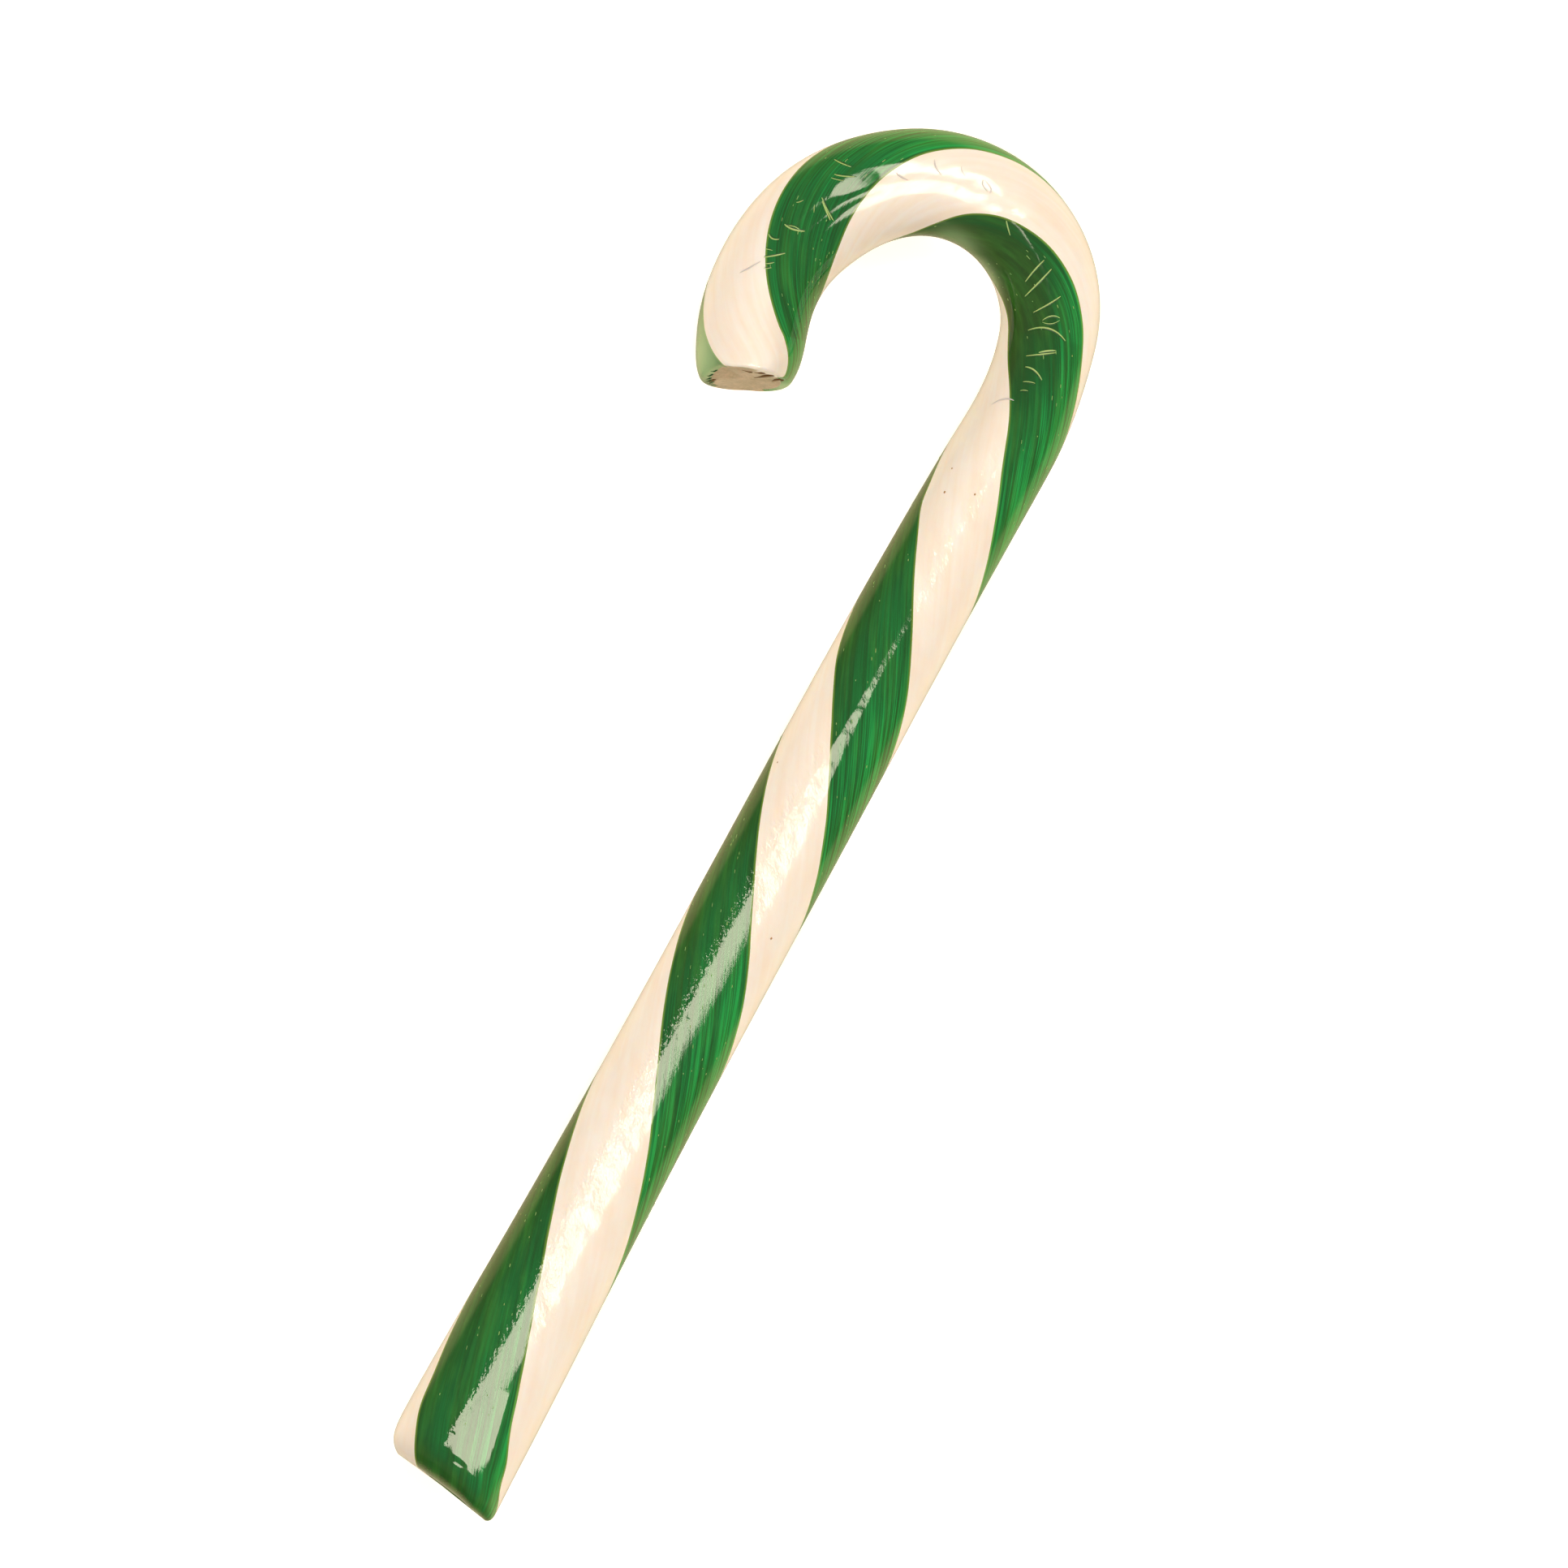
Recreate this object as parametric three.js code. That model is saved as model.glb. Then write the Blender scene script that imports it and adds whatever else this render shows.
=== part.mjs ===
import * as THREE from 'three';

// A twisted candy cane of boiled sugar, lying on its side. Millimetres, +Z up.
// The stick runs along Y with its foot at -Y, and the hook curls over toward -X.
// The origin is the middle of the outline, at the height of the surface that the cane lies on.
// The stripes are colour drawn into the sugar, not relief, so the cane is one smooth solid.

// The centreline is a chain of plain runs from the foot. A positive turn bends toward -X.
const straightLength = 92.2;
const bow = { radius: 900, turn: -1.9 };     // the stick bows out a little before the hook
const neck = { radius: 36.8, turn: 18.05 };
const crown = { radius: 13.55, turn: 107.35 };
const droop = { radius: 17.7, turn: 79.2 };
const noseLength = 4;

// The section is an oval that swells and thins along the stick, by smooth bumps of a given reach.
const stickWidth = 11.34;
const widthBumps = [
  { at: 0, adds: 2.07, reach: 31 },          // the foot, spread where the rope was cut
  { at: 129, adds: -0.66, reach: 31 },       // the hook, drawn a little thin
  { at: 131, adds: -0.69, reach: 7.5 },      // the neck, pinched by the bend
  { at: 168, adds: 0.57, reach: 6 },         // the fullest part of the hook
  { at: 183, adds: 0.2, reach: 4 },          // just behind the cut tip
];
const stickHeight = 11.4;
const heightBumps = [
  { at: 0, adds: 1.1, reach: 33 },
  { at: 130, adds: -0.3, reach: 19 },
  { at: 168.4, adds: -0.2, reach: 12 },
];
const flatDepth = 0.25;                      // the underside set flat by this much as it cooled

// The foot is pinched shut: it rolls over to a thin ridge that runs aslant.
const footRoll = 4.5;                        // length over which the foot rolls down
const ridgeThickness = 0.7;
const ridgeHeight = 5.2;
const ridgeSlant = -0.145;                   // the outer side of the ridge reaches further
const ridgeCurve = -0.009;
const slantFade = 14;                        // distance over which the rings square up again
const footOuterCorner = { cut: 0.76, reach: 0.35 };   // a corner loses this much width, fading over its reach
const footInnerCorner = { cut: 1.7, reach: 1.05 };
const footSpur = { adds: 0.2, reach: 2.5 };  // the outer side is drawn out a little toward its corner

// The tip of the hook is cut off aslant: the lower edge of the cut stands out.
const cutOverhang = 2.14;
const cutSlant = 0.04;                       // its outer side reaches further
const cutHollow = 0.021;                     // its middle is sunk between the two sides
const cutFade = 5;                           // distance over which the rings tilt into the cut
const tipOuterCorner = { cut: 0.75, reach: 1.2 };
const tipInnerCorner = { cut: 1.15, reach: 1.9 };
const rimRound = 0.3;                        // the cut's edge is eased by this much

// Fineness of the mesh
const sides = 32;
const straightStep = 4;                      // longest step between rings
const bendStep = 5;                          // largest turn between rings, in degrees
const footRings = 8;
const tipRings = 4;

const radians = THREE.MathUtils.degToRad;

function bend({ radius, turn }) {
  return { length: radius * Math.abs(radians(turn)), turn: radians(turn) };
}

const runs = [
  { length: straightLength, turn: 0 },
  bend(bow),
  bend(neck),
  bend(crown),
  bend(droop),
  { length: noseLength, turn: 0 },
];
const caneLength = runs.reduce((sum, run) => sum + run.length, 0);

// Point and heading of the centreline at a distance from the foot
function centreAt(distance) {
  const centre = { x: 0, y: 0, heading: Math.PI / 2 };
  let left = distance;
  for (const { length, turn } of runs) {
    const step = Math.min(left, length);
    const turned = turn * step / length;
    const chord = turned === 0 ? step : 2 * Math.sin(turned / 2) * length / turn;
    centre.x += chord * Math.cos(centre.heading + turned / 2);
    centre.y += chord * Math.sin(centre.heading + turned / 2);
    centre.heading += turned;
    left -= step;
  }
  centre.x += left * Math.cos(centre.heading);   // past the last run it goes straight on
  centre.y += left * Math.sin(centre.heading);
  return centre;
}

function withBumps(size, bumps, distance) {
  let total = size;
  for (const { at, adds, reach } of bumps) total += adds * Math.exp(-(((distance - at) / reach) ** 2));
  return total;
}

// Half width on the outer or the inner side of the hook
function halfWidth(distance, isOuter) {
  const foot = isOuter ? footOuterCorner : footInnerCorner;
  const tip = isOuter ? tipOuterCorner : tipInnerCorner;
  const spur = isOuter ? footSpur.adds * Math.exp(-distance / footSpur.reach) : 0;
  return withBumps(stickWidth, widthBumps, distance) / 2 + spur
    - foot.cut * Math.exp(-distance / foot.reach)
    - tip.cut * Math.exp((distance - caneLength) / tip.reach);
}

// How far the foot has risen from its ridge to the full section: 0 at the ridge, 1 past the roll
function footRise(distance) {
  const left = Math.max(0, 1 - distance / footRoll);
  return Math.sqrt(1 - left * left);
}

// One ring of points across the cane. inset draws the ring in from the surface, to round the cut's rim.
function ringAt(distance, inset = 0) {
  const { x, y, heading } = centreAt(distance);
  const rise = footRise(distance);
  const fullHeight = withBumps(stickHeight, heightBumps, distance);
  const halfHeight = THREE.MathUtils.lerp(ridgeThickness, fullHeight, rise) / 2;
  const middle = THREE.MathUtils.lerp(ridgeHeight, fullHeight / 2 - flatDepth, rise);
  const slant = Math.max(0, 1 - distance / slantFade) ** 2;
  const tilt = Math.max(0, 1 - (caneLength - distance) / cutFade);
  const points = [];
  for (let i = 0; i < sides; i++) {
    const angle = 2 * Math.PI * i / sides;   // from straight up, round by the outer side
    const across = Math.sin(angle) * (halfWidth(distance, Math.sin(angle) > 0) - inset);
    const z = Math.max(inset, middle + Math.cos(angle) * (halfHeight - inset));
    const along = slant * (ridgeSlant * across + ridgeCurve * across * across)
      + tilt * (cutOverhang * (0.5 - z / fullHeight) + cutSlant * across + cutHollow * across * across);
    points.push(new THREE.Vector3(
      x + across * Math.sin(heading) + along * Math.cos(heading),
      y - across * Math.cos(heading) + along * Math.sin(heading),
      z,
    ));
  }
  return points;
}

// Distances of the rings along the centreline
function ringDistances() {
  const lastFull = caneLength - cutFade;
  const distances = [];
  for (let i = 0; i < footRings; i++) {
    distances.push(footRoll * (1 - Math.cos(Math.PI / 2 * i / footRings)));
  }
  let start = footRoll;
  let runEnd = 0;
  for (const { length, turn } of runs) {
    runEnd += length;
    const end = Math.min(runEnd, lastFull);
    const turned = THREE.MathUtils.radToDeg(Math.abs(turn));
    const steps = Math.ceil(Math.max((end - start) / straightStep, turned / bendStep));
    for (let i = 0; i < steps; i++) distances.push(start + (end - start) * i / steps);
    start = end;
  }
  for (let i = 0; i <= tipRings; i++) distances.push(lastFull + cutFade * i / tipRings);
  return distances;
}

// A closed skin over rings of equal count, with both ends filled by a fan from their middle
function skin(rings) {
  const points = rings.flat();
  const index = [];
  for (let r = 0; r < rings.length - 1; r++) {
    for (let i = 0; i < sides; i++) {
      const a = r * sides + i;
      const b = r * sides + (i + 1) % sides;
      index.push(a, b, b + sides, a, b + sides, a + sides);
    }
  }
  for (const [first, atStart] of [[0, true], [points.length - sides, false]]) {
    const middle = new THREE.Vector3();
    for (let i = 0; i < sides; i++) middle.addScaledVector(points[first + i], 1 / sides);
    const hub = points.push(middle) - 1;
    for (let i = 0; i < sides; i++) {
      const a = first + i;
      const b = first + (i + 1) % sides;
      index.push(...(atStart ? [hub, b, a] : [hub, a, b]));
    }
  }
  return new THREE.BufferGeometry().setFromPoints(points).setIndex(index);
}

function caneGeometry() {
  const rings = ringDistances().map((distance) => ringAt(distance));
  const cut = ringAt(caneLength + rimRound, rimRound);
  const geometry = skin([...rings, cut]);
  geometry.computeBoundingBox();
  const middle = geometry.boundingBox.getCenter(new THREE.Vector3());
  geometry.translate(-middle.x, -middle.y, 0);
  geometry.computeVertexNormals();
  return geometry;
}

const sugar = new THREE.MeshStandardMaterial({ color: 0xf4e6d2, roughness: 0.22, metalness: 0 });

const cane = new THREE.Mesh(caneGeometry(), sugar);
cane.name = 'candy_cane';

const object = new THREE.Group();
object.add(cane);

export default object;
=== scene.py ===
import math

import bpy
import numpy as np
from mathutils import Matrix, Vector, noise


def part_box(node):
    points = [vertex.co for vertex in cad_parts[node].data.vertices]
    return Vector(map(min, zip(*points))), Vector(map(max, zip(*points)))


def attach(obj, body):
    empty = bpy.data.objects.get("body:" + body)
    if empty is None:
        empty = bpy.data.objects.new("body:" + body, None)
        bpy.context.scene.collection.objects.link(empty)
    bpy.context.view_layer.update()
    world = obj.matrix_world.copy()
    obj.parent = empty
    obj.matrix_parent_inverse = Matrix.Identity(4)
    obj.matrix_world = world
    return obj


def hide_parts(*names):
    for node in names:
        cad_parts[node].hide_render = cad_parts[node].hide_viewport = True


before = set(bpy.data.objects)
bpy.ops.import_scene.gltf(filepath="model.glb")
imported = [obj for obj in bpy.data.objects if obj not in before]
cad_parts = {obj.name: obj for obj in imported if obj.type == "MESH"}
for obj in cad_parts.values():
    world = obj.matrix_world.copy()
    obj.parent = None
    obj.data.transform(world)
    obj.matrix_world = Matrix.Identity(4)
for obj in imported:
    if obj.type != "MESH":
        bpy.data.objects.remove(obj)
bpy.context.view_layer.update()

# Shapes are worked out in millimetres along and round the cane, and turned to metres when a mesh is made.
# A place on the cane is a distance along its centreline from the foot, and an angle round it from
# straight up toward the outer side of the hook. Settings give angles in degrees.
mm = 0.001

# The cane's shape is the same as the CAD part's.
caneShape = {
    "straightLength": 92.2,
    "bends": [(900, -1.9), (36.8, 18.05), (13.55, 107.35), (17.7, 79.2)],  # radius, and turn in degrees
    "noseLength": 4.0,
    "stickWidth": 11.34,
    "widthBumps": [(0, 2.07, 31), (129, -0.66, 31), (131, -0.69, 7.5), (168, 0.57, 6), (183, 0.2, 4)],
    "stickHeight": 11.4,
    "heightBumps": [(0, 1.1, 33), (130, -0.3, 19), (168.4, -0.2, 12)],  # at, adds, reach
    "flatDepth": 0.25,           # the underside set flat by this much
    "footRoll": 4.5,             # the foot rolls down to a thin ridge over this length
    "ridgeThickness": 0.7,
    "ridgeHeight": 5.2,
    "ridgeSlant": -0.145,
    "ridgeCurve": -0.009,
    "slantFade": 14,
    "footOuterCorner": (0.76, 0.35),  # width lost, and the reach that it fades over
    "footInnerCorner": (1.7, 1.05),
    "footSpur": (0.2, 2.5),
    "cutOverhang": 2.14,         # the lower edge of the cut tip stands out by this much
    "cutSlant": 0.04,
    "cutHollow": 0.021,
    "cutFade": 5,
    "tipOuterCorner": (0.75, 1.2),
    "tipInnerCorner": (1.15, 1.9),
    "rimRound": 0.3,             # the cut's edge is eased by this much
}

runs = [(caneShape["straightLength"], 0.0)]
runs += [(radius * math.radians(abs(turn)), math.radians(turn)) for radius, turn in caneShape["bends"]]
runs += [(caneShape["noseLength"], 0.0)]
caneLength = sum(length for length, turn in runs)
stickRadius = caneShape["stickWidth"] / 2


# Goes evenly from 0 at the start to 1 at the end
def evenStep(value, start, end):
    return np.clip((value - start) / (end - start), 0, 1)


# The same, but easing in and out
def easedStep(value, start, end):
    share = evenStep(value, start, end)
    return share * share * (3 - 2 * share)


# 1 in the middle, fading smoothly to both sides
def hump(off, reach):
    return np.exp(-((off / reach) ** 2))


def withBumps(size, bumps, distance):
    return size + sum(adds * hump(distance - at, reach) for at, adds, reach in bumps)


# Point, heading and curvature of the centreline
def centreAt(distance):
    x = np.zeros_like(distance)
    y = np.zeros_like(distance)
    heading = np.full_like(distance, math.pi / 2)
    curvature = np.zeros_like(distance)
    left = distance.copy()
    for length, turn in runs:
        step = np.clip(left, 0, length)
        turned = turn * step / length
        chord = step if turn == 0 else 2 * np.sin(turned / 2) * length / turn
        x += chord * np.cos(heading + turned / 2)
        y += chord * np.sin(heading + turned / 2)
        curvature = np.where((left > 0) & (left <= length), turn / length, curvature)
        heading += turned
        left = left - length
    past = np.maximum(distance - caneLength, 0)
    return x + past * np.cos(heading), y + past * np.sin(heading), heading, curvature


def halfWidth(distance, isOuter):
    shape = caneShape
    width = withBumps(shape["stickWidth"], shape["widthBumps"], distance) / 2
    losses = []
    for foot, tip in (("footOuterCorner", "tipOuterCorner"), ("footInnerCorner", "tipInnerCorner")):
        footCut, footReach = shape[foot]
        tipCut, tipReach = shape[tip]
        atFoot = footCut * np.exp(-distance / footReach)
        losses.append(atFoot + tipCut * np.exp((distance - caneLength) / tipReach))
    spurAdds, spurReach = shape["footSpur"]
    outerLoss = losses[0] - spurAdds * np.exp(-distance / spurReach)
    return width - np.where(isOuter, outerLoss, losses[1])


# How far the foot has risen from its ridge to the full section
def footRise(distance):
    return np.sqrt(1 - np.maximum(0, 1 - distance / caneShape["footRoll"]) ** 2)


# Points of the skin. inset draws them in from it, to round the cut's rim.
def skinAt(distance, angle, inset=0.0):
    distance, angle, inset = np.broadcast_arrays(np.asarray(distance, float), angle, inset)
    shape = caneShape
    x, y, heading, curvature = centreAt(distance)
    rise = footRise(distance)
    fullHeight = withBumps(shape["stickHeight"], shape["heightBumps"], distance)
    halfHeight = (shape["ridgeThickness"] + (fullHeight - shape["ridgeThickness"]) * rise) / 2
    lying = fullHeight / 2 - shape["flatDepth"]
    middle = shape["ridgeHeight"] + (lying - shape["ridgeHeight"]) * rise
    slant = np.maximum(0, 1 - distance / shape["slantFade"]) ** 2
    tilt = np.maximum(0, 1 - (caneLength - distance) / shape["cutFade"])
    across = np.sin(angle) * (halfWidth(distance, np.sin(angle) > 0) - inset)
    z = np.maximum(inset, middle + np.cos(angle) * (halfHeight - inset))
    ridge = shape["ridgeSlant"] * across + shape["ridgeCurve"] * across**2
    cut = shape["cutSlant"] * across + shape["cutHollow"] * across**2
    cut = cut + shape["cutOverhang"] * (0.5 - z / fullHeight)
    along = slant * ridge + tilt * cut
    return np.stack(
        (
            x + across * np.sin(heading) + along * np.cos(heading),
            y - across * np.cos(heading) + along * np.sin(heading),
            z,
        ),
        axis=-1,
    )


def unit(vectors):
    return vectors / np.maximum(np.linalg.norm(vectors, axis=-1, keepdims=True), 1e-12)


# Outward direction of the skin
def normalAt(distance, angle):
    step = 0.02
    ahead = skinAt(distance + step, angle) - skinAt(distance - step, angle)
    around = skinAt(distance, angle + step) - skinAt(distance, angle - step)
    return unit(np.cross(around, ahead))


# Two green stripes and two white ones are drawn into the rope, and the rope is twisted.
# A place on the rope is an angle that follows the twist, so a stripe's edges keep theirs.
twist = {
    "stations": [0, 15, 35, 60, 85, 105, 125, 145, 165, 180, 189],  # mm from the foot
    "rates": [3.1, 2.7, 3.65, 4.7, 4.95, 5.35, 4.2, 3.6, 6.0, 6.2, 5.4],  # degrees for each mm there
    "stripeEdges": [-30.7, 62.1, 155.4, 250.8],  # green, white, green and white begin here
    "edgeDrifts": [              # at, adds in degrees, reach, where an edge strays from its place
        [(6, -4.5, 3), (95, -3, 3)],
        [(0, 28, 2.5), (5, 7, 2.5), (112.5, -5, 2.5)],
        [(131.5, -9, 4.5)],
        [(158, -13, 5.5), (140, 3, 7)],
    ],
    "wander": [(15, 1.5), (3, 0.6)],  # wavelength in mm, and degrees either way
    "wanderSpacing": 7.3,            # sets the edges' wanderings apart
    "columns": [34, 34, 35, 29],     # mesh columns in each stripe
    "addedUpTo": 195,                # the rates are added up to here in this many places
    "places": 3901,
}


# How far the rope has turned, in degrees, since the foot
def twistAt(distance):
    fine = np.linspace(0, twist["addedUpTo"], twist["places"])
    rate = np.interp(fine, twist["stations"], twist["rates"])
    total = np.concatenate(([0], np.cumsum((rate[1:] + rate[:-1]) / 2 * np.diff(fine))))
    return np.interp(distance, fine, total)


# Smooth wandering along the cane, from waves given by wavelength and size
def wavy(distance, waves, seed):
    total = 0
    for length, size in waves:
        total = total + size * np.array([noise.noise((d / length, seed, length)) for d in distance])
    return total


# Rope angle of each stripe edge, in degrees, with the first one again a turn on
def stripeEdgesAt(distance):
    edges = []
    for number, (angle, drifts) in enumerate(zip(twist["stripeEdges"], twist["edgeDrifts"])):
        edge = withBumps(angle, drifts, distance)
        for wavelength, degrees in twist["wander"]:
            edge += wavy(distance, [(wavelength, degrees)], twist["wanderSpacing"] * number)
        edges.append(edge)
    return np.array(edges + [edges[0] + 360])


# Points and faces of a closed shell over rows of equal count, with a middle point at both ends
def closedShell(rows, firstHub, lastHub):
    rowCount, columnCount = rows.shape[:2]
    points = np.concatenate((rows.reshape(-1, 3), [firstHub, lastHub]))
    lowerLeft = np.arange((rowCount - 1) * columnCount).reshape(rowCount - 1, columnCount)
    lowerRight = np.roll(lowerLeft, -1, axis=1)
    quads = np.stack((lowerLeft, lowerRight, lowerRight + columnCount, lowerLeft + columnCount), axis=-1)
    first = np.arange(columnCount)
    last = first + (rowCount - 1) * columnCount
    hub = rowCount * columnCount
    fans = [(hub, b, a) for a, b in zip(first.tolist(), np.roll(first, -1).tolist())]
    fans += [(hub + 1, a, b) for a, b in zip(last.tolist(), np.roll(last, -1).tolist())]
    return points, quads.reshape(-1, 4).tolist() + fans


placing = {"scale": 1.0, "shift": np.zeros(3)}  # where placeInCadBox puts the cane


# One object from closed shells, each with the number of its material
def pieceOf(name, shells, materials):
    points, faces, finish = [], [], []
    for shellPoints, shellFaces, number in shells:
        start = sum(len(group) for group in points)
        points.append(shellPoints * placing["scale"] + placing["shift"])
        faces += [tuple(start + corner for corner in face) for face in shellFaces]
        finish += [number] * len(shellFaces)
    mesh = bpy.data.meshes.new(name)
    mesh.from_pydata((np.concatenate(points) * mm).tolist(), [], faces)
    mesh.shade_smooth()
    mesh.polygons.foreach_set("material_index", finish)
    for material in materials:
        mesh.materials.append(material)
    piece = bpy.data.objects.new(name, mesh)
    bpy.context.scene.collection.objects.link(piece)
    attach(piece, "root")
    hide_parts("candy_cane")
    return piece


# Slides and shrinks the cane so that it lies just inside the CAD cane's box
def placeInCadBox(points):
    low, high = (np.array(corner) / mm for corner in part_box("candy_cane"))
    placing["scale"] = min(1.0, float(np.min((high - low) / np.ptp(points, axis=0))))
    shift = (low + high) / 2 - placing["scale"] * (points.min(axis=0) + points.max(axis=0)) / 2
    shift[2] = low[2] - placing["scale"] * points[:, 2].min()
    placing["shift"] = shift


# An sRGB colour as the linear one that Blender takes
def linearColour(hexText):
    channels = [int(hexText[i : i + 2], 16) / 255 for i in (1, 3, 5)]
    return [c / 12.92 if c <= 0.04045 else ((c + 0.055) / 1.055) ** 2.4 for c in channels] + [1.0]


# Adds a node, sets its fields and sockets, and links its inputs
def addNode(tree, kind, settings=None, links=None):
    node = tree.nodes.new(kind)
    for name, value in (settings or {}).items():
        if isinstance(name, str) and hasattr(node, name):
            setattr(node, name, value)
        else:
            node.inputs[name].default_value = value
    for name, output in (links or {}).items():
        tree.links.new(output, node.inputs[name])
    return node


def newMaterial(name):
    material = bpy.data.materials.new(name)
    material.use_nodes = True
    tree = material.node_tree
    tree.nodes.clear()
    return material, tree


def addSurface(tree, settings, links=None):
    shader = addNode(tree, "ShaderNodeBsdfPrincipled", settings, links)
    addNode(tree, "ShaderNodeOutputMaterial", {}, {"Surface": shader.outputs["BSDF"]})


# A value that the mesh holds for its materials
def attributeOf(tree, name):
    return addNode(tree, "ShaderNodeAttribute", {"attribute_name": name}).outputs["Fac"]


# Noise drawn out along the rope: its width across and length along in mm, and an offset of its own
def ropeNoise(tree, width, length, detail, offset):
    rope = addNode(tree, "ShaderNodeAttribute", {"attribute_name": "rope"})
    stretched = addNode(
        tree,
        "ShaderNodeVectorMath",
        {"operation": "MULTIPLY", 1: (1 / width, 1 / width, 1 / length)},
        {0: rope.outputs["Vector"]},
    )
    moved = addNode(
        tree,
        "ShaderNodeVectorMath",
        {"operation": "ADD", 1: (offset, 0, offset)},
        {0: stretched.outputs["Vector"]},
    )
    settings = {"Scale": 1.0, "Detail": detail, "Roughness": 0.6}
    return addNode(tree, "ShaderNodeTexNoise", settings, {"Vector": moved.outputs[0]}).outputs["Fac"]


fineRelief = {
    "height": 0.004,             # mm, of a material's own fine pattern
    "crinkles": (0.6, 0.7, 2, 12.3),
    "crinkleHeight": 0.16,
}


# The skin's finest relief: a fine pattern, with crinkles over it where the attribute says
def crinkledNormal(tree, fine):
    s = fineRelief
    folds = ropeNoise(tree, *s["crinkles"])
    base = addNode(tree, "ShaderNodeBump", {"Strength": 1.0, "Distance": s["height"] * mm}, {"Height": fine})
    links = {"Strength": attributeOf(tree, "crinkle"), "Height": folds, "Normal": base.outputs["Normal"]}
    return addNode(tree, "ShaderNodeBump", {"Distance": s["crinkleHeight"] * mm}, links).outputs["Normal"]


# Each pattern has its mm across and along the pull, its detail and an offset of its own.
greenSugar = {
    "deep": "#2c4f17",           # the darkest: least painted glow, on the side away from it and on the inner side of a bend
    "shade": "#1d561f",
    "body": "#1b7030",
    "bright": "#22a04a",         # the brightest: most painted glow, as if light came through from the other side
    "shadeAt": 0.25,             # where shade and body come between deep and bright
    "bodyAt": 0.6,
    "streak": (0.42, 16.0, 3, 3.1),
    "hair": (0.16, 9.0, 2, 9.7),
    "patch": (2.6, 14.0, 2, 5.5),
    "drift": (1.3, 8.0, 3, 14.2),
    "streaking": {"From Min": 0.8, "From Max": 1.2, "To Min": -0.5, "To Max": 0.5},
    "streakingByPaintedGlow": {"From Min": 0.3, "From Max": 0.75, "To Min": 0.15, "To Max": 0.9},
    "patching": {"From Min": 0.3, "From Max": 0.7, "To Min": -0.12, "To Max": 0.12},
    "leaf": "#4e9a38",           # drifts of yellower green
    "leafShare": {"From Min": 0.45, "From Max": 0.75, "To Max": 0.3},
    "rim": "#86a03a",            # the layer's feather edge over the white, 0.28 mm wide
    "rimShare": {"From Max": 0.28, "To Min": 0.85, "To Max": 0.0},
    "thinAndPaintedSheen": "#b5cf9a",           # where the white shows through, and painted sheen: the floor's reflection on the sides
    "roughness": {"From Min": 0.3, "From Max": 0.7, "To Min": 0.04, "To Max": 0.1},
}


# Clear boiled sugar, coloured green, laid over the white and drawn out with it. It was shaped hot and
# set like glass, so it is glossy and streaked along the pull, with small bubbles. Its green holds painted
# light.
def greenBoiledSugar():
    s = greenSugar
    material, tree = newMaterial("greenBoiledSugar")
    paintedGlow, edge, thinAndPaintedSheen = (attributeOf(tree, name) for name in ("paintedGlow", "edge", "thinAndPaintedSheen"))
    streak, hair, patch, drift = (ropeNoise(tree, *s[name]) for name in ("streak", "hair", "patch", "drift"))

    # how much painted light shows through the layer: 0 dark, 1 bright
    streaked = addNode(tree, "ShaderNodeMath", {"operation": "ADD"}, {0: streak, 1: hair}).outputs[0]
    streaked = addNode(tree, "ShaderNodeMapRange", s["streaking"], {0: streaked}).outputs[0]
    swing = addNode(tree, "ShaderNodeMapRange", s["streakingByPaintedGlow"], {0: paintedGlow}).outputs[0]
    patched = addNode(tree, "ShaderNodeMapRange", s["patching"], {0: patch}).outputs[0]
    links = {0: streaked, 1: swing, 2: paintedGlow}
    light = addNode(tree, "ShaderNodeMath", {"operation": "MULTIPLY_ADD"}, links).outputs[0]
    light = addNode(tree, "ShaderNodeMath", {"operation": "ADD"}, {0: light, 1: patched}).outputs[0]
    ramp = addNode(tree, "ShaderNodeValToRGB", {}, {"Fac": light})
    ramp.color_ramp.elements[0].color = linearColour(s["deep"])
    ramp.color_ramp.elements[1].color = linearColour(s["bright"])
    for name in ("shade", "body"):
        ramp.color_ramp.elements.new(s[name + "At"]).color = linearColour(s[name])
    colour = ramp.outputs["Color"]

    # then drifts of leaf green, the feather edge, and the thin layer with painted sheen
    leafShare = addNode(tree, "ShaderNodeMapRange", s["leafShare"], {0: drift}).outputs[0]
    rimShare = addNode(tree, "ShaderNodeMapRange", s["rimShare"], {0: edge}).outputs[0]
    for name, share in (("leaf", leafShare), ("rim", rimShare), ("thinAndPaintedSheen", thinAndPaintedSheen)):
        links = {"Fac": share, "Color1": colour}
        colour = addNode(tree, "ShaderNodeMixRGB", {"Color2": linearColour(s[name])}, links).outputs[0]

    roughness = addNode(tree, "ShaderNodeMapRange", s["roughness"], {0: patch}).outputs[0]
    settings = {
        "IOR": 1.54,
        "Subsurface Weight": 0.25,
        "Subsurface Radius": (0.4, 1.0, 0.4),
        "Subsurface Scale": 0.8 * mm,
    }
    normal = crinkledNormal(tree, hair)
    addSurface(tree, settings, {"Base Color": colour, "Roughness": roughness, "Normal": normal})
    return material


whiteSugar = {
    "bright": "#fff0e8",
    "warm": "#fde6d6",
    "streak": (0.9, 20.0, 3, 1.7),
    "cloud": (2.2, 4.5, 3, 6.1),
    "pits": (0.35, 0.5, 2, 2.3),
    "warmShare": {"From Min": 0.75, "From Max": 1.3},
    "roughness": {"From Min": 0.3, "From Max": 0.7, "To Min": 0.45, "To Max": 0.55},  # under the gloss
    "glossRoughness": 0.12,
}


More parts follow.
